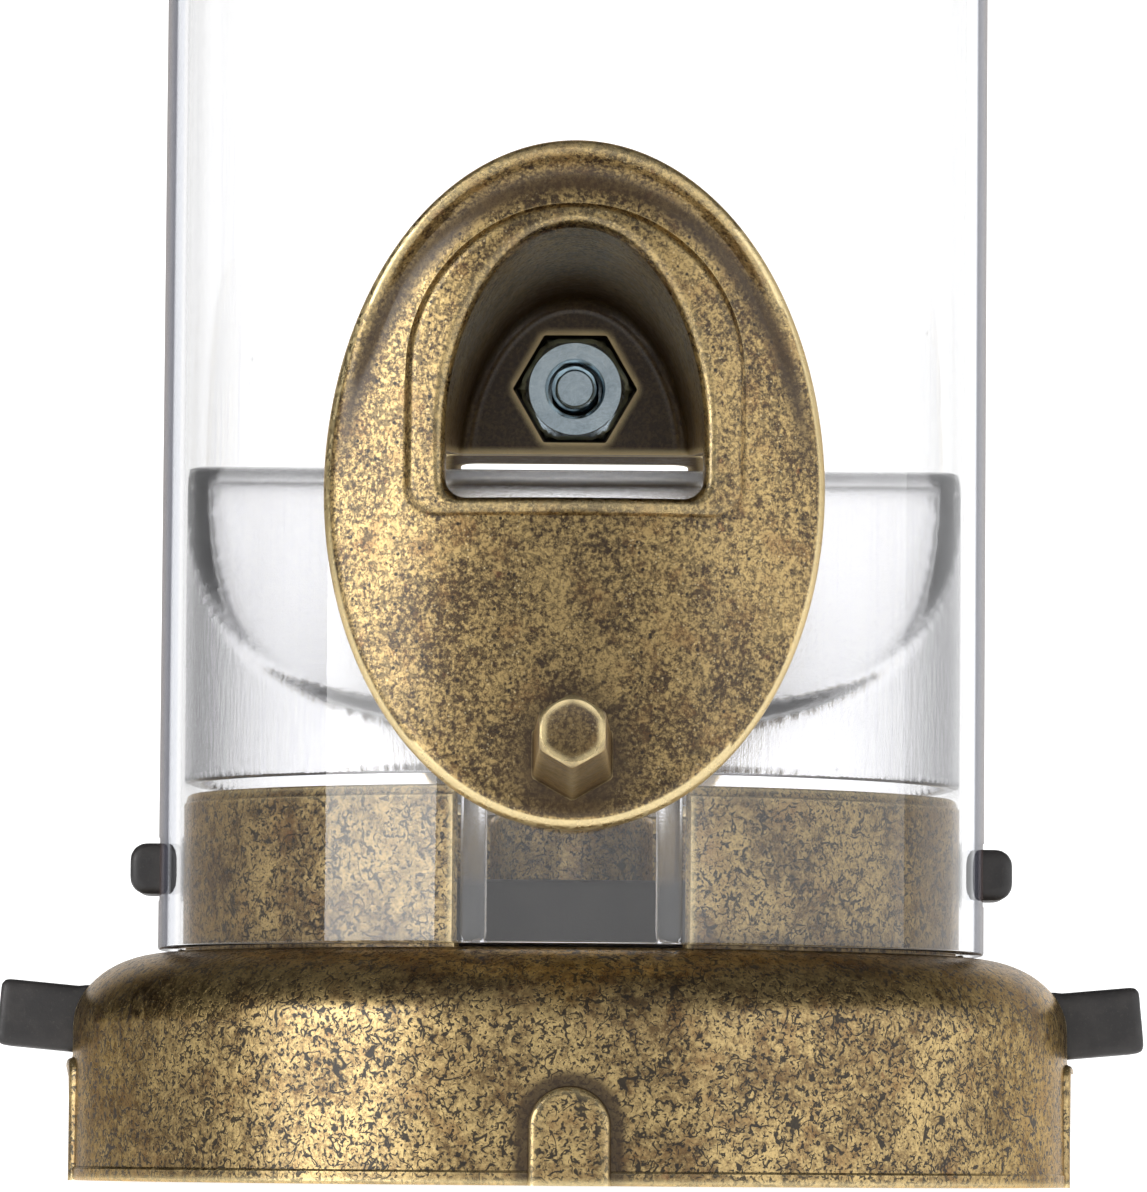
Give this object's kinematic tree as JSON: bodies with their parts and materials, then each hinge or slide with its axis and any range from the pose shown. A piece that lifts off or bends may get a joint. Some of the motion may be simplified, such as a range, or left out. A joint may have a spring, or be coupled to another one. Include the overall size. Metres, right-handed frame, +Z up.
{
  "type": "tube bird feeder",
  "caption": "Hanging tube feeder for bird seed: clear tube, die-cast latch-off base, hooded feeding ports with perches, and a domed lid that slides up a wire bail.",
  "frame": {"origin": "on the axis of the tube, at the plane of the base's rim", "axes": "+Z up along the tube, lower ports face -Y and +Y, upper ports and latches face -X and +X"},
  "size_m": [0.165, 0.165, 0.5134],
  "materials": {
    "clear_plastic": "clear, polished",
    "frosted_plastic": "clear, finely textured",
    "antique_brass": "antique, dark in the corners and brushed bright on the edges",
    "black_plastic": "satin",
    "spring_steel": "drawn wire",
    "zinc": "zinc plated",
    "stainless_wire": "drawn wire"
  },
  "bodies": {
    "feeder": {"tube": "clear_plastic", "base_casting": "antique_brass", "seed_deflector": "frosted_plastic", "port_lower_front": "antique_brass", "port_lower_rear": "antique_brass", "port_upper_left": "antique_brass", "port_upper_right": "antique_brass", "perch_lower_front": "antique_brass", "perch_lower_rear": "antique_brass", "perch_upper_left": "antique_brass", "perch_upper_right": "antique_brass", "port_bolt_lower": "zinc", "port_bolt_upper": "zinc", "port_nut_lower": "zinc", "port_nut_upper": "zinc", "bail_wire": "stainless_wire"},
    "latch_left": {"latch_left": "black_plastic", "latch_spring_left": "spring_steel"},
    "latch_right": {"latch_right": "black_plastic", "latch_spring_right": "spring_steel"},
    "lid": {"lid": "antique_brass"}
  },
  "joints": [
    {"name": "latch_left_squeeze", "type": "slide", "parent": "feeder", "child": "latch_left", "axis": [1, 0, 0], "range_m": [0, 0.005], "stiffness_N_per_m": 1200, "springref_m": -0.002, "deforming": ["latch_spring_left"]},
    {"name": "latch_right_squeeze", "type": "slide", "parent": "feeder", "child": "latch_right", "axis": [-1, 0, 0], "range_m": [0, 0.005], "stiffness_N_per_m": 1200, "springref_m": -0.002, "deforming": ["latch_spring_right"]},
    {"name": "lid_lift", "type": "slide", "parent": "feeder", "child": "lid", "axis": [0, 0, 1], "range_m": [0, 0.045]}
  ]
}
